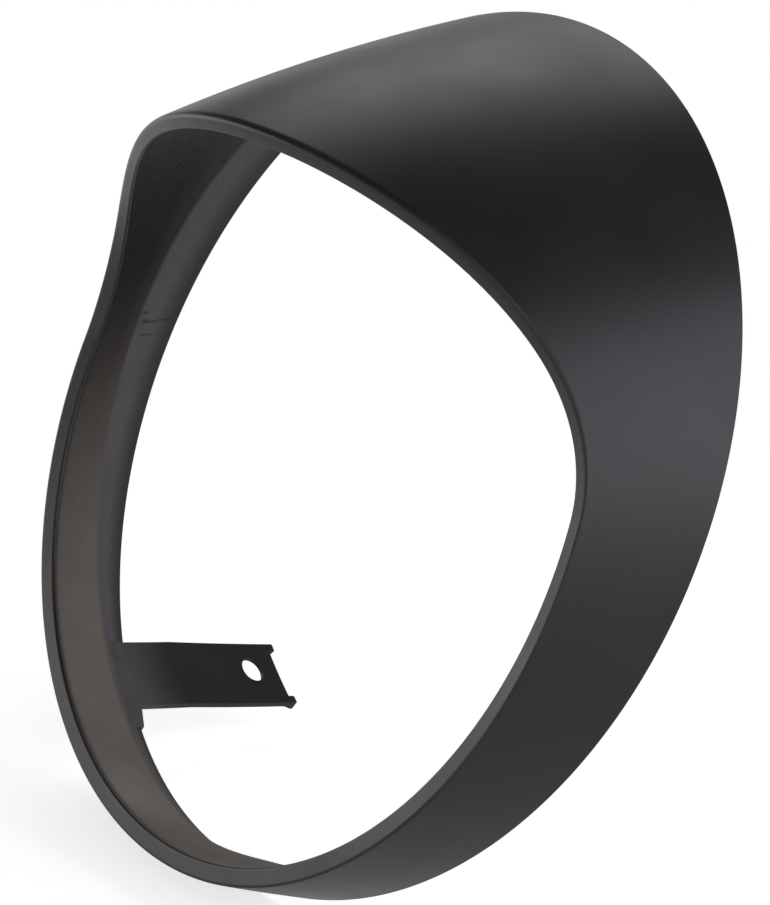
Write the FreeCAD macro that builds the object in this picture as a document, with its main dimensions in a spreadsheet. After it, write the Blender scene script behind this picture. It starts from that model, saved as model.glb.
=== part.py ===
import FreeCAD, Part
import math
import os
import Sketcher

# Ring of a round headlight: a tapered, gently crowned shell about the lamp axis.
# The rear rim is raked, the front edge rises in an arch to a visor,
# and a thin ribbed tab with a screw bore points back.
# Frame: origin where the lamp axis crosses the rear rim plane, -Y to the front, +Z up.

SIZES = [
    ("seat_radius", 95.0),      # outer radius at the origin, across the lamp axis
    ("wall_taper", 14.5),       # lean of the wall at the origin, degrees
    ("crown_radius", 581.0),    # the wall's own bulge along the axis
    ("wall", 3.6),
    ("rear_rake", 20.3),        # rear rim plane, top further back, degrees
    ("front_station", 27.1),    # lower front edge ahead of the origin, at the lamp axis
    ("front_rake", 17.4),       # lean of the lower front edge, degrees
    ("arch_start", 14.8),       # height where the front edge leaves its straight run
    ("arch_radius", 53.0),      # arch of the front edge under the visor, seen from the side
    ("edge_break", 0.8),        # both edges of the front face
    ("rear_wall", 2.7),         # wall left at the rear rim
    ("ridge_station", 12.6),    # inner ridge ahead of the origin, at the lamp axis
    ("ridge_rake", 14.5),       # plane of the ridge, degrees
    ("tab_angle", 44.0),        # tab's middle from straight down, towards -X, degrees
    ("tab_span", 11.2),         # part of the ring's circle that the tab takes up, degrees
    ("tab_reach", 28.0),        # end of the tab's plate behind the origin
    ("tab_thickness", 1.6),
    ("tab_inset", 0.2),         # tab's inner face below the ring's inner wall
    ("rib_span", 1.3),          # part of the circle that each edge rib takes up, degrees
    ("rib_height", 1.6),        # ribs beyond the plate, on the outer side
    ("ear_reach", 2.2),         # ribs run on past the plate's end
    ("ear_round", 0.7),
    ("bore_diameter", 6.6),
    ("bore_inset", 7.6),        # bore's middle ahead of the plate's end
    ("pad_span", 15.1),         # raised pad at the tab's root, degrees
    ("pad_shift", 1.3),         # pad's middle from the tab's middle, towards the bottom, degrees
    ("pad_overhang", 0.8),      # pad past the rear rim
    ("margin", 12.0),           # how far blanks and cutters run past the ring
]
BAND_LAP = 0.3      # share of the rear band that its cutter runs past it at each end
EAR_LOOK = 0.01     # edges this close to the ribs' ends belong to the ears

doc = FreeCAD.newDocument("HeadlightRing")
dims = doc.addObject("Spreadsheet::Sheet", "dims")
for row, (alias, number) in enumerate(SIZES, start=1):
    dims.set("A%d" % row, alias)
    dims.set("B%d" % row, str(number))
    dims.setAlias("B%d" % row, alias)
doc.recompute()

body = doc.addObject("PartDesign::Body", "headlight_ring")
body.Label = "headlight_ring"
body.Placement = FreeCAD.Placement()
origin = {feature.Role: feature for feature in body.Origin.OriginFeatures}

# Centre of the crowned wall's arc in the side view; inner and outer wall share it.
CENTRE_Y = "dims.crown_radius * sin(dims.wall_taper)"
CENTRE_Z = "(dims.seat_radius - dims.crown_radius * cos(dims.wall_taper))"
OUTER_ARC = "dims.crown_radius"
INNER_ARC = "(dims.crown_radius - dims.wall)"
TAB_ARC = "(dims.crown_radius - dims.wall + dims.tab_inset)"
PLATE_ARC = "(%s + dims.tab_thickness)" % TAB_ARC
RIB_ARC = "(%s + dims.rib_height)" % PLATE_ARC
BACK = "(dims.seat_radius * tan(dims.rear_rake) + dims.margin)"
FRONT = "(dims.front_station + dims.arch_radius + dims.margin)"
OUTSIDE = "(dims.seat_radius + 2 * dims.margin)"


def value(formula):
    return float(dims.evalExpression(formula))


def wallRadius(arc, station):
    # Distance of the crowned wall from the lamp axis at a station along it.
    return "(%s + sqrt((%s)^2 - (%s - %s)^2))" % (CENTRE_Z, arc, station, CENTRE_Y)


def point(across, up):
    return FreeCAD.Vector(across, up, 0)


def circle(centre, radius):
    return Part.Circle(centre, FreeCAD.Vector(0, 0, 1), radius)


def addSketch(name, plane, offset=None):
    sketch = body.newObject("Sketcher::SketchObject", name)
    sketch.AttachmentSupport = [(origin[plane], "")]
    sketch.MapMode = "FlatFace"
    if offset:
        sketch.setExpression("AttachmentOffset", offset)
    return sketch


def addLine(sketch, start, end):
    return sketch.addGeometry(Part.LineSegment(point(*start), point(*end)))


def tie(sketch, kind, *where):
    sketch.addConstraint(Sketcher.Constraint(kind, *where))


def hold(sketch, kind, *where, by):
    # A dimension of the sketch that follows a formula of the sheet's sizes.
    start = math.radians(value(by)) if kind == "Angle" else value(by)
    number = sketch.addConstraint(Sketcher.Constraint(kind, *where, start))
    sketch.setExpression("Constraints[%d]" % number, by)


def addCircle(name, plane, offset, diameter):
    sketch = addSketch(name, plane, offset)
    ring = sketch.addGeometry(circle(point(0, 0), value(diameter) / 2))
    tie(sketch, "Coincident", ring, 3, -1, 1)
    hold(sketch, "Diameter", ring, by=diameter)
    return sketch


def addWallCircle(name, arc, station):
    # Round section of the crowned wall at one station.
    offset = "placement(vector(0; 0; -(%s)); rotation(0; 0; 0))" % station
    return addCircle(name, "XZ_Plane", offset, "2 * " + wallRadius(arc, "(%s)" % station))


def addWallSlice(name, innerArc, outerArc, front, back, turn):
    # Section of the crowned wall between two arcs and two stations, turned about the lamp axis
    # from straight down towards -X.
    sketch = addSketch(name, "YZ_Plane", "placement(vector(0; 0; 0); rotation(0; 0; %s - 180))" % turn)
    centre = point(value(CENTRE_Y), value(CENTRE_Z))
    arcs = []
    for formula in (outerArc, innerArc):
        radius = value(formula)
        angles = [math.acos((value(station) - centre.x) / radius) for station in (back, front)]
        arcs.append(sketch.addGeometry(Part.ArcOfCircle(circle(centre, radius), *angles)))
    outer, inner = arcs
    for end, station in ((1, back), (2, front)):
        across = value(station)
        rung = addLine(sketch, (across, value(wallRadius(outerArc, station))),
                       (across, value(wallRadius(innerArc, station))))
        tie(sketch, "Coincident", rung, 1, outer, end)
        tie(sketch, "Coincident", rung, 2, inner, end)
        tie(sketch, "Vertical", rung)
        hold(sketch, "DistanceX", outer, end, by=station)
    tie(sketch, "Coincident", outer, 3, inner, 3)
    hold(sketch, "DistanceX", outer, 3, by=CENTRE_Y)
    hold(sketch, "DistanceY", outer, 3, by=CENTRE_Z)
    hold(sketch, "Radius", outer, by=outerArc)
    hold(sketch, "Radius", inner, by=innerArc)
    return sketch


def addRakedOval(name, arc, station, rake):
    # Where a raked plane crosses the crowned wall: an oval about the plane's own middle.
    fromCentre = "(%s + %s)" % (CENTRE_Y, station)
    rest = "(%s^2 + %s^2 - (%s)^2)" % (fromCentre, CENTRE_Z, arc)
    reach = {}
    for end, sign in (("top", ""), ("bottom", "-")):
        along = "(%s%s * sin(%s) + %s * cos(%s))" % (sign, fromCentre, rake, CENTRE_Z, rake)
        reach[end] = "(%s + sqrt(%s^2 - %s))" % (along, along, rest)
    middle = "((%s - %s) / 2)" % (reach["top"], reach["bottom"])
    tall = "(%s + %s)" % (reach["top"], reach["bottom"])
    across = wallRadius(arc, "(%s * sin(%s) - %s)" % (middle, rake, station))
    wide = "2 * sqrt(%s^2 - (%s * cos(%s))^2)" % (across, middle, rake)
    offset = "placement(vector(0; 0; %s); rotation(0; 0; -%s))" % (station, rake)
    sketch = addSketch(name, "XZ_Plane", offset)
    centre = point(0, value(middle))
    oval = sketch.addGeometry(Part.Ellipse(centre + point(0, value(tall) / 2),
                                           centre + point(value(wide) / 2, 0), centre))
    sketch.exposeInternalGeometry(oval)
    tallAxis, wideAxis = oval + 1, oval + 2
    tie(sketch, "PointOnObject", oval, 3, -2)
    tie(sketch, "Vertical", tallAxis)
    hold(sketch, "DistanceY", oval, 3, by=middle)
    hold(sketch, "Distance", tallAxis, by=tall)
    hold(sketch, "Distance", wideAxis, by=wide)
    return sketch


def loft(kind, name, sections, ruled=False):
    feature = body.newObject("PartDesign::" + kind, name)
    feature.Profile = sections[0]
    feature.Sections = sections[1:]
    feature.Ruled = ruled
    doc.recompute()
    return feature


def turnSlice(name, sketch, span):
    # Turns a slice of the wall half its span to each side about the lamp axis.
    feature = body.newObject("PartDesign::Revolution", name)
    feature.Profile = sketch
    feature.ReferenceAxis = (sketch, ["H_Axis"])
    feature.Midplane = True
    feature.setExpression("Angle", span)
    doc.recompute()
    return feature


def cut(name, sketch, depth):
    # Cuts the sketch's outline half the depth to each side of its plane.
    before = body.Shape.Volume
    feature = body.newObject("PartDesign::Pocket", name)
    feature.Profile = sketch
    feature.Midplane = True
    feature.setExpression("Length", depth)
    doc.recompute()
    if before - body.Shape.Volume < 1.0:
        raise RuntimeError(name + " cuts nothing")
    return feature


def edgeNames(chosen):
    return ["Edge%d" % number for number, edge in enumerate(body.Shape.Edges, start=1) if chosen(edge)]


# The full shell, longer than the ring at both ends, and its hollow.
stations = [("Back", BACK), ("Middle", "(%s - %s) / 2" % (BACK, FRONT)), ("Front", "-" + FRONT)]
loft("AdditiveLoft", "shell",
     [addWallCircle("shell" + place, OUTER_ARC, station) for place, station in stations])
loft("SubtractiveLoft", "hollow",
     [addWallCircle("hollow" + place, INNER_ARC, station) for place, station in stations])

# Front edge, seen from the side: a straight raked run, then an arch up to the visor's tip.
edge = addSketch("frontEdge", "YZ_Plane")
footY = "-(dims.front_station + %s * tan(dims.front_rake))" % OUTSIDE
aheadY = "-%s - dims.margin" % FRONT
startY = "(dims.arch_start * tan(dims.front_rake) - dims.front_station)"
archY = value(startY + " - dims.arch_radius * cos(dims.front_rake)")
archZ = value("dims.arch_start + dims.arch_radius * sin(dims.front_rake)")
archRadius = value("dims.arch_radius")
high, far, foot = value(OUTSIDE), value(aheadY), value(footY)
run = addLine(edge, (foot, -high), (value(startY), value("dims.arch_start")))
arch = edge.addGeometry(Part.ArcOfCircle(circle(point(archY, archZ), archRadius),
                                         math.radians(-value("dims.front_rake")), math.radians(90)))
rise = addLine(edge, (archY, archZ + archRadius), (archY, high))
over = addLine(edge, (archY, high), (far, high))
ahead = addLine(edge, (far, high), (far, -high))
under = addLine(edge, (far, -high), (foot, -high))
tie(edge, "Tangent", run, 2, arch, 1)
tie(edge, "Vertical", arch, 2, arch, 3)
for first, second in ((arch, rise), (rise, over), (over, ahead), (ahead, under), (under, run)):
    tie(edge, "Coincident", first, 2, second, 1)
for upright in (rise, ahead):
    tie(edge, "Vertical", upright)
for level in (over, under):
    tie(edge, "Horizontal", level)
hold(edge, "DistanceX", run, 1, by=footY)
hold(edge, "DistanceY", run, 1, by="-" + OUTSIDE)
hold(edge, "DistanceY", run, 2, by="dims.arch_start")
hold(edge, "Angle", run, by="90 - dims.front_rake")
hold(edge, "Radius", arch, by="dims.arch_radius")
hold(edge, "DistanceY", over, 1, by=OUTSIDE)
hold(edge, "DistanceX", over, 2, by=aheadY)
cut("frontCut", edge, "2 * " + OUTSIDE)

# Rear rim: one raked plane through the origin.
rim = addSketch("rearRim", "YZ_Plane")
leanY = OUTSIDE + " * tan(dims.rear_rake)"
behindY = BACK + " + dims.margin + " + leanY
corners = [("-" + leanY, "-" + OUTSIDE), (leanY, OUTSIDE), (behindY, OUTSIDE), (behindY, "-" + OUTSIDE)]
places = [(value(y), value(z)) for y, z in corners]
sides = [addLine(rim, start, end) for start, end in zip(places, places[1:] + places[:1])]
for side, following, (y, z) in zip(sides, sides[1:] + sides[:1], corners):
    tie(rim, "Coincident", side, 2, following, 1)
    hold(rim, "DistanceX", side, 1, by=y)
    hold(rim, "DistanceY", side, 1, by=z)
cut("rearCut", rim, "2 * " + OUTSIDE)

# Rear band: the wall thins from the inner ridge to the rear rim.
# The cutter's two ovals lie past the rim and past the ridge, on the same slope.
ovals = []
for name, share in (("rimOval", -BAND_LAP), ("ridgeOval", 1 + BAND_LAP)):
    thick = "(dims.rear_wall + %s * (dims.wall - dims.rear_wall))" % share
    rake = "(dims.rear_rake + %s * (dims.ridge_rake - dims.rear_rake))" % share
    station = "(%s * dims.ridge_station)" % share
    ovals.append(addRakedOval(name, "dims.crown_radius - " + thick, station, rake))
band = loft("SubtractiveLoft", "rearBand", ovals, ruled=True)

# Front face: the raked flat and the arch. The edges where they meet the two walls are broken.
cutFaces = [face for face in body.Shape.Faces if isinstance(face.Surface, (Part.Plane, Part.Cylinder))]
rearFace = max(cutFaces, key=lambda face: face.CenterOfMass.y)
frontEdges = [each for face in cutFaces if not face.isSame(rearFace) for each in face.Edges]
lips = edgeNames(lambda each: sum(each.isSame(other) for other in frontEdges) == 1)
edgeBreak = body.newObject("PartDesign::Chamfer", "edgeBreak")
edgeBreak.Base = (band, lips)
edgeBreak.setExpression("Size", "dims.edge_break")
doc.recompute()

# Tab: a thin plate that runs on back along the wall, with a rib along each long edge.
root = "-(dims.ridge_station + dims.seat_radius * tan(dims.ridge_rake) * cos(dims.tab_angle))"
turnSlice("plate", addWallSlice("plateWall", TAB_ARC, PLATE_ARC, root, "dims.tab_reach", "dims.tab_angle"),
          "dims.tab_span")
ribAngle = "(dims.tab_angle - (dims.tab_span - dims.rib_span) / 2)"
ribEnd = "(dims.tab_reach + dims.ear_reach)"
firstRib = turnSlice("firstRib", addWallSlice("ribWall", TAB_ARC, RIB_ARC, root, ribEnd, ribAngle),
                     "dims.rib_span")
ribs = body.newObject("PartDesign::PolarPattern", "ribs")
ribs.Originals = [firstRib]
ribs.Axis = (origin["Y_Axis"], [""])
ribs.Occurrences = 2
ribs.setExpression("Angle", "dims.tab_span - dims.rib_span")
body.Tip = ribs
doc.recompute()

# Pad: at the tab's root the rear band keeps the full wall, a little past the rim.
padAngle = "(dims.tab_angle - dims.pad_shift)"
padEnd = "(dims.pad_overhang - %s * tan(dims.rear_rake) * cos(%s))" % (wallRadius(TAB_ARC, root), padAngle)
pad = turnSlice("pad", addWallSlice("padWall", TAB_ARC, PLATE_ARC, root, padEnd, padAngle), "dims.pad_span")

# Ears: the ribs' ends past the plate are rounded.
earEnd = value(ribEnd)
tips = edgeNames(lambda each: all(abs(corner.Y - earEnd) < EAR_LOOK for corner in each.Vertexes))
ears = body.newObject("PartDesign::Fillet", "ears")
ears.Base = (pad, tips)
ears.setExpression("Radius", "dims.ear_round")
doc.recompute()

# Screw bore, square to the plate where it stands.
boreY = "(dims.tab_reach - dims.bore_inset)"
boreOut = wallRadius(TAB_ARC, boreY)
boreLean = "asin((%s - %s) / %s)" % (CENTRE_Y, boreY, TAB_ARC)
borePlace = "vector(-%s * sin(dims.tab_angle); %s; -%s * cos(dims.tab_angle))" % (boreOut, boreY, boreOut)
boreTurn = "rotation(0; dims.tab_angle; -%s)" % boreLean
bore = addCircle("boreCircle", "XY_Plane", "placement(%s; %s)" % (borePlace, boreTurn), "dims.bore_diameter")
cut("bore", bore, "4 * (dims.tab_thickness + dims.rib_height)")

for item in doc.Objects:
    if "Invalid" in item.State or "Error" in item.State:
        raise RuntimeError("%s failed: %s" % (item.Label, item.State))
if body.Shape.isNull() or not body.Shape.isValid() or len(body.Shape.Solids) != 1:
    raise RuntimeError("the ring isn't one sound solid")
os.makedirs("parts", exist_ok=True)
body.Shape.exportStep("parts/%s.step" % body.Label)
print("headlight_ring: %.1f cubic centimetres" % (body.Shape.Volume / 1000))
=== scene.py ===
import math

import bmesh
import bpy
import numpy as np
from mathutils import Matrix, Vector


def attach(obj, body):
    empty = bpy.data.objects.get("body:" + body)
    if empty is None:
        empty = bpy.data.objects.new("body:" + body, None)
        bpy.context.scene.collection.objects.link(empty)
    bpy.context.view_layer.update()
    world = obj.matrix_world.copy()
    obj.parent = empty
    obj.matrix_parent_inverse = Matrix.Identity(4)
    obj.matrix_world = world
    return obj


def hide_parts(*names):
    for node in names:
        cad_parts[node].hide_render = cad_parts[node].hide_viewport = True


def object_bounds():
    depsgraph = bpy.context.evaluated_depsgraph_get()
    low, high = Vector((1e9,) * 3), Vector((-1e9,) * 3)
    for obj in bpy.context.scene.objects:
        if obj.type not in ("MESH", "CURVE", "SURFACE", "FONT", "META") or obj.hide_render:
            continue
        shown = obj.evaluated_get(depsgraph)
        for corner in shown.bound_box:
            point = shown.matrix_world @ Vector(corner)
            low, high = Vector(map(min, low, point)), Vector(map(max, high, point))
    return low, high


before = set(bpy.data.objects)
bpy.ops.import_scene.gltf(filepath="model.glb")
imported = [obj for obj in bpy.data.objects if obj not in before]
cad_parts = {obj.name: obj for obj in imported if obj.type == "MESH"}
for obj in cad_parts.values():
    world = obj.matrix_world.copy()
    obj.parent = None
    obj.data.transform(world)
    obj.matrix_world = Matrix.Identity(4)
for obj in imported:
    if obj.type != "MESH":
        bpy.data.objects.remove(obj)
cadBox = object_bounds()
scene = bpy.context.scene
scene.view_settings.view_transform = "Standard"
print("frame loaded:", sorted(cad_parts))

millimetres = 1000      # in a metre

# the ring's own sizes, millimetres and degrees, lamp axis along Y
ringSizes = {
    "seatRadius": 95.0, "wallTaper": 14.5, "crownRadius": 581.0, "wall": 3.6,
    "rearRake": 20.3, "rearWall": 2.7, "sideLip": 2.2,      # the rear lip is thicker at the sides
    "ridgeStation": 12.6, "ridgeRake": 14.5,                # where the rear band begins, inside
    "swell": 2.8, "swellAngle": 167.0, "swellSpan": 25.0,   # soft thickening inside, at the bottom
    "frontStation": 26.96, "frontRake": 17.37,              # the front edge's straight run
    "archStart": 16.5, "archRadius": 46.6,                  # the visor's arch begins at this height
    "archTop": 49.1, "browBend": 0.01,                      # and opens out into the brow above this one
    "faceWidth": 4.2, "browWidth": 3.5,                     # the front face all round, and at the brow
    "frontRound": 0.6, "browRound": 1.7,                    # lips of the face, and its outer lip at the brow
    "browFrom": 0.25, "browFull": 1.0, "browRoundFull": 0.8,    # where the brow begins: cosines from the top
    "innerLipMost": 0.3, "outerLipMost": 0.5,               # shares of the face that a lip may take
    "rearRound": 0.3,                                       # both lips of the rear rim
    "ridgeSoft": 1.6, "softMost": 0.4,                      # smoothing beside the inner ridge, and its largest share
    "leastSine": 0.3,                                       # limits a lip where the edge runs along the section
    "turns": 720, "lipSteps": 6, "rimSteps": 4,             # steps around the ring and across its roundings
    "searchFrom": -80.0, "searchTo": 60.0, "halvings": 60,  # stations between which an edge is looked for
}
# shares of each run at which the section has its points, closer together at the ends
sectionRows = {
    "wall": (0.004, 0.02, 0.06, 0.13, 0.22, 0.32, 0.42, 0.52, 0.62, 0.72, 0.81, 0.89, 0.95, 0.984, 0.997),
    "face": (0.06, 0.35, 0.65, 0.94),
    "band": (0.03, 0.2, 0.4, 0.6, 0.8, 0.97),
    "rim": (0.1, 0.9),
}


def tanDeg(angle):
    return math.tan(math.radians(angle))


def ease(value, low, high):     # smooth step from 0 to 1
    share = np.clip((value - low) / (high - low), 0, 1)
    return share * share * (3 - 2 * share)


taper = math.radians(ringSizes["wallTaper"])
crownY = ringSizes["crownRadius"] * math.sin(taper)     # middle of the crowned wall's arc
crownRho = ringSizes["seatRadius"] - ringSizes["crownRadius"] * math.cos(taper)


def wallRho(y, depth=0.0):      # distance from the lamp axis, depth below the outer skin
    return crownRho + np.sqrt((ringSizes["crownRadius"] - depth) ** 2 - (y - crownY) ** 2)


def frontY(z):      # front edge seen from the side: raked straight run, the visor's arch, then its brow
    s = ringSizes
    rake = math.radians(s["frontRake"])
    startY = s["archStart"] * tanDeg(s["frontRake"]) - s["frontStation"]
    archY = startY - s["archRadius"] * math.cos(rake)
    archZ = s["archStart"] + s["archRadius"] * math.sin(rake)
    bent = np.clip(z, s["archStart"], s["archTop"])
    browRise = (archZ - s["archTop"]) / math.sqrt(s["archRadius"] ** 2 - (s["archTop"] - archZ) ** 2)
    arch = archY + np.sqrt(s["archRadius"] ** 2 - (bent - archZ) ** 2)
    arch += browRise * (z - bent) - s["browBend"] * (z - bent) ** 2
    return np.where(z < s["archStart"], z * tanDeg(s["frontRake"]) - s["frontStation"], arch)


def rearY(z):
    return z * tanDeg(ringSizes["rearRake"])


def ridgeY(z):
    return z * tanDeg(ringSizes["ridgeRake"]) - ringSizes["ridgeStation"]


def meetWall(edgeY, phi, depth):    # station where an edge seen from the side crosses the wall
    low = np.full_like(phi, ringSizes["searchFrom"])
    high = np.full_like(phi, ringSizes["searchTo"])
    for halving in range(ringSizes["halvings"]):
        middle = (low + high) / 2
        ahead = middle < edgeY(wallRho(middle, depth) * np.cos(phi))
        low = np.where(ahead, middle, low)
        high = np.where(ahead, high, middle)
    return (low + high) / 2


def onRing(phi, y, rho):
    return np.stack([rho * np.sin(phi), y, rho * np.cos(phi)], axis=-1)


def squareness(phi, y, rho, slope):     # sine of the angle between an edge and the wall's section
    edge = onRing(phi, y, rho)
    along = np.roll(edge, -1, axis=0) - np.roll(edge, 1, axis=0)
    along /= np.linalg.norm(along, axis=1, keepdims=True)
    across = onRing(phi, np.ones_like(phi), slope)
    across /= np.linalg.norm(across, axis=1, keepdims=True)
    return np.maximum(np.linalg.norm(np.cross(along, across), axis=1), ringSizes["leastSine"])


def bend(start, corner, end, steps):    # rounded corner between two points of the section
    rows = []
    for step in range(1, steps):
        t = step / steps
        rows.append(tuple((1 - t) ** 2 * a + 2 * t * (1 - t) * b + t * t * c
                          for a, b, c in zip(start, corner, end)))
    return rows


def between(start, end, shares):
    return [tuple(a + (b - a) * share for a, b in zip(start, end)) for share in shares]


def newMesh(name, points, faces):
    mesh = bpy.data.meshes.new(name)
    mesh.from_pydata((points / millimetres).tolist(), [], faces)
    mesh.shade_smooth()
    thing = bpy.data.objects.new(name, mesh)
    scene.collection.objects.link(thing)
    return thing


def faceOut(mesh):      # every face's front to the outside
    work = bmesh.new()
    work.from_mesh(mesh)
    bmesh.ops.recalc_face_normals(work, faces=work.faces)
    work.to_mesh(mesh)
    work.free()


def pointValues(mesh, name, values):    # a number for each point, which the finishes read
    layer = mesh.attributes.new(name, "FLOAT", "POINT")
    layer.data.foreach_set("value", np.asarray(values, np.float32))


def buildShell():
    s = ringSizes
    phi = np.linspace(0, 2 * math.pi, s["turns"], endpoint=False)
    toTop = np.cos(phi)
    narrowing = ease(toTop, s["browFrom"], s["browFull"])
    frontWall = s["faceWidth"] + (s["browWidth"] - s["faceWidth"]) * narrowing
    softening = ease(toTop, s["browFrom"], s["browRoundFull"])
    lipRound = s["frontRound"] + (s["browRound"] - s["frontRound"]) * softening
    rearWall = s["rearWall"] + s["sideLip"] * np.sin(phi) ** 2
    fromSwell = np.abs(np.degrees(phi) - s["swellAngle"])
    ridgeWall = s["wall"] + s["swell"] * ease(-fromSwell, -s["swellSpan"], 0)

    def wallPoint(y, depth):
        return (y, wallRho(y, depth))

    outerFront = meetWall(frontY, phi, 0.0)
    outerRear = meetWall(rearY, phi, 0.0)
    innerRear = meetWall(rearY, phi, rearWall)
    ridge = meetWall(ridgeY, phi, ridgeWall)
    slope = wallRho(outerFront + 0.5) - wallRho(outerFront - 0.5)   # the wall's rise over a millimetre
    outerEdge = wallPoint(outerFront, 0.0)
    inwardY = (crownY - outerEdge[0]) / s["crownRadius"]
    inwardRho = (crownRho - outerEdge[1]) / s["crownRadius"]

    def facePoint(deep):    # the front face stands square to the skin
        return (outerEdge[0] + deep * inwardY, outerEdge[1] + deep * inwardRho)

    def setback(edge, size):    # how far a lip of this size reaches along the wall
        return size / squareness(phi, *edge, slope) / np.sqrt(1 + slope ** 2)

    innerEdge = facePoint(frontWall)
    innerFront = innerEdge[0]
    innerLip = np.minimum(s["frontRound"], frontWall * s["innerLipMost"])
    outerLip = np.minimum(lipRound, frontWall * s["outerLipMost"])
    wallStart = wallPoint(outerRear - s["rearRound"], 0.0)
    wallEnd = wallPoint(outerFront + setback(outerEdge, lipRound), 0.0)
    faceStart = facePoint(outerLip)
    faceEnd = facePoint(frontWall - innerLip)
    insideStart = wallPoint(innerFront + setback(innerEdge, s["frontRound"]), frontWall)

    def insidePoint(y):     # the wall's inner side, which may swell towards the ridge
        return wallPoint(y, frontWall + (ridgeWall - frontWall) * ease(y, insideStart[0], ridge))

    ridgePoint = wallPoint(ridge, ridgeWall)
    rearInner = wallPoint(innerRear, rearWall)
    rearOuter = wallPoint(outerRear, 0.0)
    bandLength = innerRear - ridge
    soft = np.minimum(s["ridgeSoft"], bandLength * s["softMost"])
    insideEnd = insidePoint(ridge - np.minimum(soft, (ridge - insideStart[0]) * s["softMost"]))
    bandStart = between(ridgePoint, rearInner, [soft / bandLength])[0]
    bandEnd = between(rearInner, ridgePoint, [s["rearRound"] / bandLength])[0]
    rimShare = s["rearRound"] / (rearOuter[1] - rearInner[1])
    rimStart = between(rearInner, rearOuter, [rimShare])[0]
    rimEnd = between(rearOuter, rearInner, [rimShare])[0]

    rows, zone = [], []     # the section, once around the wall

    def add(kind, *newRows):
        rows.extend(newRows)
        zone.extend([kind] * len(newRows))

    wallRun, insideRun = wallEnd[0] - wallStart[0], insideEnd[0] - insideStart[0]
    add("skin", wallStart)
    add("skin", *[wallPoint(wallStart[0] + wallRun * t, 0.0) for t in sectionRows["wall"]])
    add("skin", wallEnd)
    add("lip", *bend(wallEnd, outerEdge, faceStart, s["lipSteps"]))
    add("face", faceStart, *between(faceStart, faceEnd, sectionRows["face"]), faceEnd)
    add("lip", *bend(faceEnd, innerEdge, insideStart, s["lipSteps"]))
    add("inside", insideStart)
    add("inside", *[insidePoint(insideStart[0] + insideRun * t) for t in sectionRows["wall"]])
    add("inside", insideEnd)
    add("inside", *bend(insideEnd, ridgePoint, bandStart, s["lipSteps"]))
    add("band", bandStart, *between(bandStart, bandEnd, sectionRows["band"]), bandEnd)
    add("rim", *bend(bandEnd, rearInner, rimStart, s["rimSteps"]))
    add("rim", rimStart, *between(rimStart, rimEnd, sectionRows["rim"]), rimEnd)
    add("rim", *bend(rimEnd, rearOuter, wallStart, s["rimSteps"]))

    count, turns = len(rows), s["turns"]
    points = np.concatenate([onRing(phi, y, rho) for y, rho in rows])
    faces = []
    for row in range(count):
        below, above = row * turns, (row + 1) % count * turns
        for turn in range(turns):
            nextTurn = (turn + 1) % turns
            faces.append((below + turn, above + turn, above + nextTurn, below + nextTurn))
    shell = newMesh("ringShell", points, faces)
    faceOut(shell.data)

    insideShare = [np.clip((y - innerFront) / (ridge - innerFront), 0, 1) for y, rho in rows]
    bandShare = [np.clip((y - ridge) / bandLength, 0, 1) for y, rho in rows]
    isLip = [1.0 if kind == "lip" else 0.0 for kind in zone]
    pointValues(shell.data, "inward", np.concatenate(insideShare))
    pointValues(shell.data, "rearBand", np.concatenate(bandShare))
    pointValues(shell.data, "lip", np.repeat(isLip, turns))
    isInner = [kind in ("inside", "band") for kind in zone]
    slots = [1 if here and there else 0 for here, there in zip(isInner, isInner[1:] + isInner[:1])]
    shell.data.polygons.foreach_set("material_index", np.repeat(slots, turns).astype(np.int32))
    print("shell:", len(points), "points,", count, "rows")
    return shell


# the tab that points back at the lower left, a strip with an ear at each corner of its end
tabSizes = {
    "angle": 223.95, "start": -5.0, "drift": 0.030,     # the strip's middle, and its turn per millimetre past the start
    "width": 17.4, "reach": 28.7, "thickness": 1.6, "inset": 0.1,
    "rise": 0.6,                                        # how far it rises out of the rear band
    "ribWidth": 2.1, "ribHeight": 0.25,
    "earReach": 2.3, "earDrop": 1.3, "earLength": 4.5, "earRound": 0.9,
    "bore": 6.6, "boreAngle": 224.0, "boreStation": 20.4,
    "padLow": 213.9, "padHigh": 230.2, "padEnd": -22.7,
    "padFrom": 218.0, "padSlant": 0.6,                  # below this angle the pad's end is slanted
    "overlap": 1.5,                                     # of the strip on the pad
    "edgeRound": 0.2, "edgeSteps": 3, "edgeAngle": 40,
    "stripSteps": 59, "stripWide": 19, "ribSteps": 50, "ribWide": 9, "earTurn": 15,
    "padSteps": 10, "padWide": 25,
}
# shares of the way from the bore to the strip's border at which the plate has its loops
plateLoops = (0.0, 0.03, 0.08, 0.15, 0.24, 0.34, 0.45, 0.56, 0.67, 0.78, 0.88, 0.96, 1.0)


def tabRoot(angle):     # the tab grows out of the inner ridge, which is slanted
    return meetWall(ridgeY, np.radians(angle), ringSizes["wall"])


def tabPoint(angle, y, depth):      # angle in degrees about the lamp axis, depth below the outer skin
    rise = tabSizes["rise"] * ease(y, tabRoot(angle), tabSizes["padEnd"])
    return onRing(np.radians(angle), y, wallRho(y, depth + rise))


def degreeLength(y, depth):     # millimetres around the wall in one degree
    return wallRho(y, depth) * math.pi / 180


def stripAngle(y, across):      # across is in millimetres from the strip's middle
    t = tabSizes
    turned = t["drift"] * np.maximum(y - t["start"], 0)
    return t["angle"] - turned + across / degreeLength(y, ringSizes["wall"])


def closeLevels(levels, around):    # quads between loops of the same length, the last joined to the first
    faces = []
    for level in range(levels):
        here, there = level * around, (level + 1) % levels * around
        for side in range(around):
            beside = (side + 1) % around
            faces.append((here + side, here + beside, there + beside, there + side))
    return faces


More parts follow.
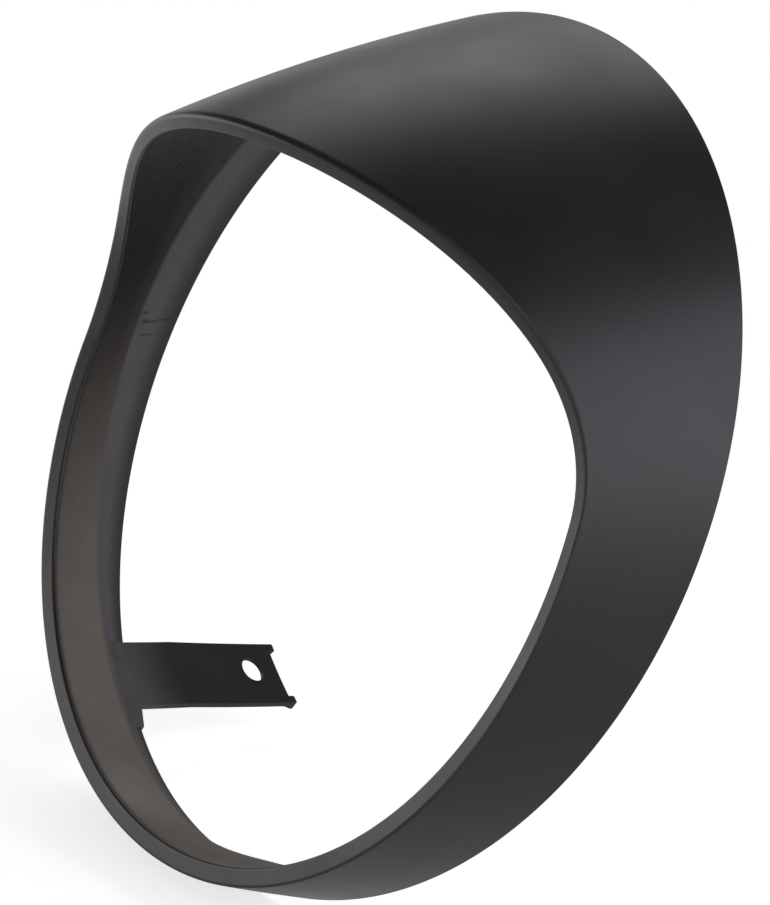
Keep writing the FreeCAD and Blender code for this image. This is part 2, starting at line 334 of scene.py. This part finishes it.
def buildPlate(top, bottom):    # the strip between its ribs, in loops from the bore out to the border
    t = tabSizes
    root, end = t["padEnd"] - t["overlap"], t["reach"]
    half = (t["width"] - t["ribWidth"]) / 2
    boreTurn = t["boreAngle"] - stripAngle(t["boreStation"], 0.0)
    boreAcross = boreTurn * degreeLength(t["boreStation"], top)
    long = np.linspace(root, end, t["stripSteps"])
    wide = np.linspace(-half, half, t["stripWide"])
    border = [(-half, y) for y in long[:-1]] + [(a, end) for a in wide[:-1]]
    border += [(half, y) for y in long[:0:-1]] + [(a, root) for a in wide[:0:-1]]
    border = np.array(border)
    heading = np.arctan2(border[:, 1] - t["boreStation"], border[:, 0] - boreAcross)
    rim = np.stack([boreAcross + np.cos(heading) * t["bore"] / 2,
                    t["boreStation"] + np.sin(heading) * t["bore"] / 2], axis=1)
    loops = [rim + (border - rim) * share for share in plateLoops]
    levels = [(loop, top) for loop in loops] + [(loop, bottom) for loop in reversed(loops)]
    points = [tabPoint(stripAngle(loop[:, 1], loop[:, 0]), loop[:, 1], depth) for loop, depth in levels]
    return np.concatenate(points), closeLevels(len(levels), len(border))


def buildRib(side, top, bottom):    # the strip's long edge, whose free end, the ear, swells to a rounded tip
    t = tabSizes
    end, tip = t["reach"] + t["earReach"], t["earRound"]
    middle, half = side * (t["width"] - t["ribWidth"]) / 2, t["ribWidth"] / 2
    stations = [(y, 0.0) for y in np.linspace(t["padEnd"] - t["overlap"], end - tip, t["ribSteps"])]
    for turn in range(t["earTurn"], 91, t["earTurn"]):      # a quarter turn around the tip
        lean = math.radians(turn)
        stations.append((end - tip * (1 - math.sin(lean)), tip * (1 - math.cos(lean))))
    wide = np.linspace(-1, 1, t["ribWide"])
    points = []
    for y, draw in stations:
        low = bottom - t["earDrop"] * ease(y, end - t["earLength"], end - tip)
        loop = [(a, top - draw) for a in wide] + [(a, low + draw) for a in wide[::-1]]
        points += [tabPoint(stripAngle(y, middle + a * (half - draw)), y, depth) for a, depth in loop]
    around = 2 * len(wide)
    faces = closeLevels(len(stations), around)[:-around]
    faces.append(tuple(range(around))[::-1])
    last = (len(stations) - 1) * around
    faces.append(tuple(last + corner for corner in range(around)))
    return np.array(points), faces


def buildPad(top, bottom):      # a flat landing at the strip's root, its end slanted below the strip
    t = tabSizes
    angles = np.linspace(t["padLow"], t["padHigh"], t["padWide"])
    ends = t["padEnd"] + t["padSlant"] * np.minimum(angles - t["padFrom"], 0)
    root = tabRoot(angles)
    rows = [(root + (ends - root) * share, top) for share in np.linspace(0, 1, t["padSteps"])]
    rows += [(y, bottom) for y, depth in reversed(rows)]
    points = np.concatenate([tabPoint(angles, y, depth) for y, depth in rows])
    count, wide = len(rows), len(angles)
    faces = []
    for row in range(count):
        here, there = row * wide, (row + 1) % count * wide
        for side in range(wide - 1):
            faces.append((here + side, here + side + 1, there + side + 1, there + side))
    faces.append(tuple(row * wide for row in range(count)))
    faces.append(tuple(row * wide + wide - 1 for row in range(count))[::-1])
    return points, faces


def buildTab():
    t = tabSizes
    top = ringSizes["wall"] - t["inset"]
    bottom = top - t["thickness"]
    ribBottom = bottom - t["ribHeight"]
    points, faces = [], []
    for partPoints, partFaces in (buildPlate(top, bottom), buildRib(-1, top, ribBottom),
                                  buildRib(1, top, ribBottom), buildPad(top, bottom)):
        base = sum(len(each) for each in points)
        points.append(partPoints)
        faces += [tuple(corner + base for corner in face) for face in partFaces]
    tab = newMesh("screwTab", np.concatenate(points), faces)
    faceOut(tab.data)
    rounding = tab.modifiers.new("edgeRound", "BEVEL")
    rounding.width = t["edgeRound"] / millimetres
    rounding.segments = t["edgeSteps"]
    rounding.limit_method = "ANGLE"
    rounding.angle_limit = math.radians(t["edgeAngle"])
    rounding.harden_normals = True
    print("tab:", len(tab.data.vertices), "points")
    return tab


def newGroup(name, inputs, outputs):
    group = bpy.data.node_groups.new(name, "ShaderNodeTree")
    for socket, kind, default in inputs:
        made = group.interface.new_socket(socket, in_out="INPUT", socket_type=kind)
        made.default_value = default
    for socket, kind in outputs:
        group.interface.new_socket(socket, in_out="OUTPUT", socket_type=kind)
    given = group.nodes.new("NodeGroupInput").outputs
    wanted = group.nodes.new("NodeGroupOutput").inputs
    return group, given, wanted


def addNode(tree, kind, settings=None, **values):   # settings are the node's own, values its sockets
    node = tree.nodes.new(kind)
    for key, value in (settings or {}).items():
        setattr(node, key, value)
    for key, value in values.items():       # _0 is the first socket, From_Min the one called From Min
        name = key.replace("_", " ").strip()
        socket = node.inputs[int(name) if name.isdigit() else name]
        if isinstance(value, bpy.types.NodeSocket):
            tree.links.new(value, socket)
        else:
            socket.default_value = value
    return node


def useGroup(tree, group, **values):
    return addNode(tree, "ShaderNodeGroup", {"node_tree": group}, **values).outputs


def findNode(tree, kind):
    return next(node for node in tree.nodes if node.type == kind)


def maths(tree, operation, first, second=0.0, clamp=False):
    settings = {"operation": operation, "use_clamp": clamp}
    return addNode(tree, "ShaderNodeMath", settings, _0=first, _1=second).outputs[0]


def ramp(tree, value, low, high, toLow=0.0, toHigh=1.0):    # smooth step between two levels
    node = addNode(tree, "ShaderNodeMapRange", {"interpolation_type": "SMOOTHSTEP"}, Value=value,
                   From_Min=low, From_Max=high, To_Min=toLow, To_Max=toHigh)
    return node.outputs["Result"]


def blend(tree, share, first, second):
    node = addNode(tree, "ShaderNodeMix", {"data_type": "RGBA"}, _0=share, _6=first, _7=second)
    return node.outputs[2]


def noise(tree, place, scale, detail):
    return addNode(tree, "ShaderNodeTexNoise", Vector=place, Scale=scale, Detail=detail).outputs["Fac"]


def distanceTo(tree, place, point):
    node = addNode(tree, "ShaderNodeVectorMath", {"operation": "DISTANCE"}, _0=place, _1=point)
    return node.outputs["Value"]


def partOf(tree, vector, axis):
    return addNode(tree, "ShaderNodeSeparateXYZ", Vector=vector).outputs[axis]


def pointValue(tree, name):
    return addNode(tree, "ShaderNodeAttribute", {"attribute_name": name}).outputs["Fac"]


grainLook = {
    "fineDetail": 2.0, "broadDetail": 4.0, "fineShare": 0.7, "broadShare": 0.3,
    "speckFrom": 0.35, "speckFull": 0.7,
}


def makePaintGrain():
    g = grainLook
    group, given, wanted = newGroup("paintGrain", [
        ("Place", "NodeSocketVector", (0, 0, 0)), ("Grain Size", "NodeSocketFloat", 0.0004),
        ("Cloud Size", "NodeSocketFloat", 0.02)],
        [("Height", "NodeSocketFloat"), ("Cloud", "NodeSocketFloat"), ("Speck", "NodeSocketFloat")])
    place = given["Place"]
    fine = noise(group, place, maths(group, "DIVIDE", 1.0, given["Grain Size"]), g["fineDetail"])
    broad = noise(group, place, maths(group, "DIVIDE", 1.0, given["Cloud Size"]), g["broadDetail"])
    mixed = maths(group, "ADD", maths(group, "MULTIPLY", fine, g["fineShare"]),
                  maths(group, "MULTIPLY", broad, g["broadShare"]))
    group.links.new(mixed, wanted["Height"])
    group.links.new(broad, wanted["Cloud"])
    group.links.new(ramp(group, fine, g["speckFrom"], g["speckFull"]), wanted["Speck"])
    return group


rubLook = {
    "wobbleScale": 260.0, "wobbleDetail": 3.0, "gapScale": 900.0, "gapDetail": 2.0, "gapSoft": 0.15,
    "endsFrom": 0.3,                        # share of the half length from which it fades
    "depthFrom": 0.8, "depthTo": 1.2,       # and of the depth, in half lengths
}


def makeRubMark():
    # a rubbed or scratched line: x runs along it, z across it, y through the wall
    r = rubLook
    group, given, wanted = newGroup("rubMark", [
        ("Place", "NodeSocketVector", (0, 0, 0)), ("Middle", "NodeSocketVector", (0, 0, 0)),
        ("Turn", "NodeSocketVector", (0, 0, 0)), ("Length", "NodeSocketFloat", 0.005),
        ("Width", "NodeSocketFloat", 0.0006), ("Breaks", "NodeSocketFloat", 0.5)],
        [("Mask", "NodeSocketFloat")])

    def fade(distance, size, start, stop):      # 1 near the line, 0 past the size
        share = maths(group, "DIVIDE", maths(group, "ABSOLUTE", distance), size)
        return ramp(group, share, start, stop, 1.0, 0.0)

    local = addNode(group, "ShaderNodeMapping", {"vector_type": "TEXTURE"}, Vector=given["Place"],
                    Location=given["Middle"], Rotation=given["Turn"]).outputs[0]
    wobble = maths(group, "SUBTRACT", noise(group, local, r["wobbleScale"], r["wobbleDetail"]), 0.5)
    across = maths(group, "ADD", partOf(group, local, "Z"), maths(group, "MULTIPLY", wobble, given["Width"]))
    thin = fade(across, given["Width"], 0.0, 1.0)
    ends = fade(partOf(group, local, "X"), given["Length"], r["endsFrom"], 1.0)
    near = fade(partOf(group, local, "Y"), given["Length"], r["depthFrom"], r["depthTo"])
    gaps = ramp(group, noise(group, local, r["gapScale"], r["gapDetail"]),
                maths(group, "SUBTRACT", given["Breaks"], r["gapSoft"]), given["Breaks"])
    mask = maths(group, "MULTIPLY", maths(group, "MULTIPLY", thin, ends), maths(group, "MULTIPLY", near, gaps))
    group.links.new(mask, wanted["Mask"])
    return group


paintGrain = makePaintGrain()
rubMark = makeRubMark()


def newPaint(name, paint):
    finish = bpy.data.materials.new(name)
    finish.use_nodes = True
    tree = finish.node_tree
    place = tree.nodes.new("ShaderNodeTexCoord").outputs["Object"]
    grain = useGroup(tree, paintGrain, Place=place, Grain_Size=paint["grain"], Cloud_Size=paint["cloud"])
    return finish, tree, place, grain


def coat(tree, paint, colour, rough, height):   # puts a paint's colour, roughness and bump on its shader
    shader = findNode(tree, "BSDF_PRINCIPLED")
    tree.links.new(colour, shader.inputs["Base Color"])
    tree.links.new(rough, shader.inputs["Roughness"])
    shader.inputs["Specular IOR Level"].default_value = paint["specular"]
    bump = addNode(tree, "ShaderNodeBump", Strength=paint["bump"], Distance=paint["bumpDepth"], Height=height)
    tree.links.new(bump.outputs["Normal"], shader.inputs["Normal"])


satinPaint = {
    "dark": (0.0105, 0.0100, 0.0104, 1), "light": (0.0165, 0.0158, 0.0165, 1),
    "roughLow": 0.36, "roughHigh": 0.43, "roughFrom": 0.3, "roughTo": 0.7, "specular": 0.36,
    "grain": 0.00035, "cloud": 0.03, "bump": 0.05, "bumpDepth": 0.00004,
    "lipLight": (0.024, 0.023, 0.023, 1), "wornFrom": 0.45, "wornFull": 0.7,    # light wear on the lips
    "bare": (0.16, 0.155, 0.15, 1),
}
# light scratch and small nicks on the front face: middle, direction, half length, half width in metres, how broken
faceMarks = [
    ((-0.04964, -0.04626, -0.06115), (0.405, 0.273, 0.873), 0.0013, 0.00014, 0.25),
    ((0.00779, -0.04788, 0.07730), (0.95, 0.15, -0.27), 0.0010, 0.00018, 0.40),
    ((0.01000, -0.04600, 0.07620), (0.95, 0.15, -0.27), 0.0007, 0.00013, 0.45),
]


def markTurn(along):    # turn that lays a mark's length along a direction, and its depth into the front face
    length = Vector(along).normalized()
    across = length.cross(Vector((0, -1, 0))).normalized()
    return tuple(Matrix((length, across.cross(length), across)).transposed().to_euler())


def makeSatinPaint():
    p = satinPaint
    finish, tree, place, grain = newPaint("satinBlackPaint", p)
    colour = blend(tree, grain["Cloud"], p["dark"], p["light"])
    patchy = ramp(tree, grain["Cloud"], p["wornFrom"], p["wornFull"])
    worn = maths(tree, "MULTIPLY", pointValue(tree, "lip"), patchy, True)
    colour = blend(tree, worn, colour, p["lipLight"])
    for middle, along, length, width, breaks in faceMarks:
        mark = useGroup(tree, rubMark, Place=place, Middle=middle, Turn=markTurn(along),
                        Length=length, Width=width, Breaks=breaks)
        colour = blend(tree, mark["Mask"], colour, p["bare"])
    rough = ramp(tree, grain["Cloud"], p["roughFrom"], p["roughTo"], p["roughLow"], p["roughHigh"])
    coat(tree, p, colour, rough, grain["Height"])
    return finish


innerPaint = {
    "black": (0.006, 0.0055, 0.0052, 1),
    "brown": (0.215, 0.198, 0.168, 1), "brownDark": (0.136, 0.124, 0.104, 1),
    "cloudShare": 0.8, "speckShare": 0.3,       # what mottles the brown
    "fullBelow": -0.06, "goneAbove": 0.04,      # heights between which the brown overspray thins out to black: partly real thinning, partly painted shade under the visor
    "ridgeFrom": 0.6, "ridgeTo": 1.1, "ridgeBlack": 0.85,       # towards the ridge the black is thinner
    "edgeFrom": 0.02, "edgeTo": 0.14, "edgeBlack": 0.75,        # black beside the front lip
    "patch": (0.30, 0.28, 0.245, 1), "patchPlace": (-0.0230, -0.0437, -0.0745),
    "patchReach": 0.017, "patchShare": 0.6,     # a lighter patch at the bottom
    "band": (0.135, 0.135, 0.133, 1), "bandDark": (0.050, 0.050, 0.049, 1),
    "bandFrom": 0.35, "bandTo": 0.95, "bandMottle": 0.5, "bandSoft": 0.12,
    "scuff": (0.012, 0.0115, 0.011, 1), "scuffShare": 0.6,
    "roughLow": 0.55, "roughHigh": 0.7, "specular": 0.09,
    "grain": 0.0005, "cloud": 0.009, "bump": 0.12, "bumpDepth": 0.00008,
}
# dark rubs on the rear band: middle, half length, half width in metres, and how broken they are
bandScuffs = [
    ((-0.0880, -0.0003, 0.0187), 0.0058, 0.00055, 0.50),
    ((-0.0868, -0.0046, 0.0190), 0.0018, 0.00080, 0.30),
    ((-0.0866, -0.0046, 0.0212), 0.0014, 0.00060, 0.40),
    ((-0.0879, -0.0035, 0.0153), 0.0026, 0.00045, 0.45),
]


def makeInnerPaint():
    p = innerPaint
    finish, tree, place, grain = newPaint("dustyInnerPaint", p)
    height = partOf(tree, place, "Z")
    inward = pointValue(tree, "inward")
    rearBand = pointValue(tree, "rearBand")
    mottled = maths(tree, "ADD", maths(tree, "MULTIPLY", grain["Cloud"], p["cloudShare"]),
                    maths(tree, "MULTIPLY", grain["Speck"], p["speckShare"]), True)
    brown = blend(tree, mottled, p["brownDark"], p["brown"])
    bright = ramp(tree, distanceTo(tree, place, p["patchPlace"]), 0.0, p["patchReach"], p["patchShare"], 0.0)
    brown = blend(tree, bright, brown, p["patch"])
    # painted shade: the brown darkens to black towards the top, partly thinner overspray, partly shade under the visor
    thinningAndShade = maths(tree, "MULTIPLY", ramp(tree, height, p["fullBelow"], p["goneAbove"]),
                     ramp(tree, inward, p["ridgeFrom"], p["ridgeTo"], 1.0, p["ridgeBlack"]))
    covered = blend(tree, thinningAndShade, brown, p["black"])
    edged = blend(tree, ramp(tree, inward, p["edgeFrom"], p["edgeTo"], p["edgeBlack"], 0.0), covered, p["black"])
    band = blend(tree, ramp(tree, rearBand, p["bandFrom"], p["bandTo"]), p["band"], p["bandDark"])
    band = blend(tree, maths(tree, "MULTIPLY", mottled, p["bandMottle"]), band, p["bandDark"])
    colour = blend(tree, ramp(tree, rearBand, 0.0, p["bandSoft"]), edged, band)
    for middle, length, width, breaks in bandScuffs:
        mark = useGroup(tree, rubMark, Place=place, Middle=middle, Turn=(0, 0, math.pi / 2),
                        Length=length, Width=width, Breaks=breaks)
        colour = blend(tree, maths(tree, "MULTIPLY", mark["Mask"], p["scuffShare"]), colour, p["scuff"])
    rough = ramp(tree, grain["Speck"], 0.0, 1.0, p["roughLow"], p["roughHigh"])
    coat(tree, p, colour, rough, grain["Height"])
    return finish


tabPaint = {
    "dark": (0.010, 0.0099, 0.0096, 1), "light": (0.020, 0.0196, 0.0190, 1),
    "root": (0.105, 0.103, 0.099, 1), "rootDark": (0.070, 0.069, 0.066, 1),
    "rootFrom": -0.026, "rootTo": -0.004,       # stations between which the light root fades to black
    "roughLow": 0.5, "roughHigh": 0.62, "specular": 0.2,
    "grain": 0.0006, "cloud": 0.008, "bump": 0.3, "bumpDepth": 0.00007,
}


def makeTabPaint():
    p = tabPaint
    finish, tree, place, grain = newPaint("tabBlackPaint", p)
    fade = ramp(tree, partOf(tree, place, "Y"), p["rootFrom"], p["rootTo"])
    root = blend(tree, grain["Cloud"], p["rootDark"], p["root"])
    colour = blend(tree, fade, root, blend(tree, grain["Cloud"], p["dark"], p["light"]))
    rough = ramp(tree, grain["Speck"], 0.0, 1.0, p["roughLow"], p["roughHigh"])
    coat(tree, p, colour, rough, grain["Height"])
    return finish


shell = buildShell()
shell.data.materials.append(makeSatinPaint())
shell.data.materials.append(makeInnerPaint())
tab = buildTab()
tab.data.materials.append(makeTabPaint())
for piece in (shell, tab):
    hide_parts("headlight_ring")
    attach(piece, "root")
print("pieces made:", [piece.name for piece in (shell, tab)])


stageLook = {
    "floorRadius": 6.0, "floorStep": 5, "floorGap": 0.0002,     # metres, degrees, and just below the ring
    "floorColour": (0.85, 0.85, 0.85, 1), "floorRough": 0.9,
    "floorLift": 0.32, "viewLift": 0.40,                        # glow for shown rays, and more for the camera
    "sweepMiddle": (0.10, 0.12, 0.0), "sweepStart": 0.2, "sweepEnd": 0.46,  # the floor turns plain white between these
    "ceiling": 0.09, "ceilingFrom": 0.12, "ceilingFull": 0.48,  # dim ceiling above white walls
    "ambient": 0.35,
}
plainWhite = (1, 1, 1, 1)


def shownRay(tree):     # 1 for camera, glossy and transmission rays
    path = tree.nodes.new("ShaderNodeLightPath")
    seen = maths(tree, "MAXIMUM", path.outputs["Is Camera Ray"], path.outputs["Is Glossy Ray"])
    return maths(tree, "MAXIMUM", seen, path.outputs["Is Transmission Ray"])


def makeFloor():
    s = stageLook
    around = []
    for turn in range(0, 360, s["floorStep"]):
        a = math.radians(turn)
        around.append((s["floorRadius"] * math.cos(a), s["floorRadius"] * math.sin(a), 0))
    mesh = bpy.data.meshes.new("floor")
    mesh.from_pydata(around, [], [tuple(range(len(around)))])
    floor = bpy.data.objects.new("floor", mesh)
    floor.location.z = cadBox[0].z - s["floorGap"]
    scene.collection.objects.link(floor)
    finish = bpy.data.materials.new("paleFloor")
    finish.use_nodes = True
    tree = finish.node_tree
    shader = findNode(tree, "BSDF_PRINCIPLED")
    shader.inputs["Base Color"].default_value = s["floorColour"]
    shader.inputs["Roughness"].default_value = s["floorRough"]
    shader.inputs["Specular IOR Level"].default_value = 0.0
    shader.inputs["Emission Color"].default_value = plainWhite
    seen = shownRay(tree)
    viewed = tree.nodes.new("ShaderNodeLightPath").outputs["Is Camera Ray"]
    lift = maths(tree, "ADD", maths(tree, "MULTIPLY", seen, s["floorLift"]),
                 maths(tree, "MULTIPLY", viewed, s["viewLift"]))
    tree.links.new(lift, shader.inputs["Emission Strength"])
    place = tree.nodes.new("ShaderNodeTexCoord").outputs["Object"]
    away = ramp(tree, distanceTo(tree, place, s["sweepMiddle"]), s["sweepStart"], s["sweepEnd"])
    white = addNode(tree, "ShaderNodeEmission", Color=plainWhite, Strength=1.0)
    mixed = addNode(tree, "ShaderNodeMixShader", _0=maths(tree, "MULTIPLY", away, seen),
                    _1=shader.outputs[0], _2=white.outputs[0])
    tree.links.new(mixed.outputs[0], findNode(tree, "OUTPUT_MATERIAL").inputs["Surface"])
    mesh.materials.append(finish)


def makeWorld():
    s = stageLook
    world = bpy.data.worlds.new("studio")
    world.use_nodes = True
    scene.world = world
    tree = world.node_tree
    tree.nodes.clear()
    heading = tree.nodes.new("ShaderNodeTexCoord").outputs["Generated"]
    shade = ramp(tree, partOf(tree, heading, "Z"), s["ceilingFrom"], s["ceilingFull"], 1.0, s["ceiling"])
    level = ramp(tree, shownRay(tree), 0.0, 1.0, s["ambient"], 1.0)
    back = addNode(tree, "ShaderNodeBackground", Color=plainWhite, Strength=maths(tree, "MULTIPLY", shade, level))
    output = tree.nodes.new("ShaderNodeOutputWorld")
    tree.links.new(back.outputs[0], output.inputs["Surface"])


def outward(heading, height):   # direction away from the ring: degrees from the front towards +X, and above the horizon
    a, e = math.radians(heading), math.radians(height)
    return Vector((math.sin(a) * math.cos(e), -math.cos(a) * math.cos(e), math.sin(e)))


# softboxes: heading, height above the horizon, distance, width, height, radiance, tint
softboxes = {
    "rightBox": (112, 24, 1.3, 0.9, 1.0, 2.9, (0.95, 0.89, 1.0)),
    "frontLeftBox": (-53, 6, 2.2, 2.1, 0.9, 2.05, (1.0, 0.99, 1.0)),
    "backLeftBox": (-135, 46, 1.3, 0.8, 0.62, 1.75, (1.0, 0.96, 0.98)),
    "cameraBox": (58, 34, 1.4, 0.8, 0.6, 1.9, (1.0, 0.99, 0.98)),
}


def makeLights():
    for name, (heading, height, distance, width, tall, radiance, tint) in softboxes.items():
        light = bpy.data.lights.new(name, "AREA")
        light.shape = "RECTANGLE"
        light.size, light.size_y = width, tall
        light.energy = radiance * math.pi * width * tall
        light.color = tint
        box = bpy.data.objects.new(name, light)
        away = outward(heading, height)
        box.location = away * distance
        box.rotation_euler = away.to_track_quat("Z", "Y").to_euler()
        box.visible_camera = False
        scene.collection.objects.link(box)


# the photograph's view: place in metres, heading, height above the horizon and tilt in degrees
cameraView = {
    "place": (0.38007, -0.31329, 0.13051), "heading": 50.25, "height": 14.07, "tilt": 4.81,
    "lens": 91.6, "sensor": 36.0, "nearest": 0.01,
}


def makeCamera():
    v = cameraView
    tilt = math.radians(v["tilt"])
    back = outward(v["heading"], v["height"])
    level = (-back).cross(Vector((0, 0, 1))).normalized()
    upright = level.cross(-back)
    right = math.cos(tilt) * level + math.sin(tilt) * upright
    up = -math.sin(tilt) * level + math.cos(tilt) * upright
    lens = bpy.data.cameras.new("photoView")
    lens.lens = v["lens"]
    lens.sensor_width = v["sensor"]
    lens.clip_start = v["nearest"]
    camera = bpy.data.objects.new("photoView", lens)
    turn = Matrix((right, up, back)).transposed().to_4x4()
    camera.matrix_world = Matrix.Translation(Vector(v["place"])) @ turn
    scene.collection.objects.link(camera)
    scene.camera = camera


makeFloor()
makeWorld()
makeLights()
makeCamera()
print("stage, lights and camera made")
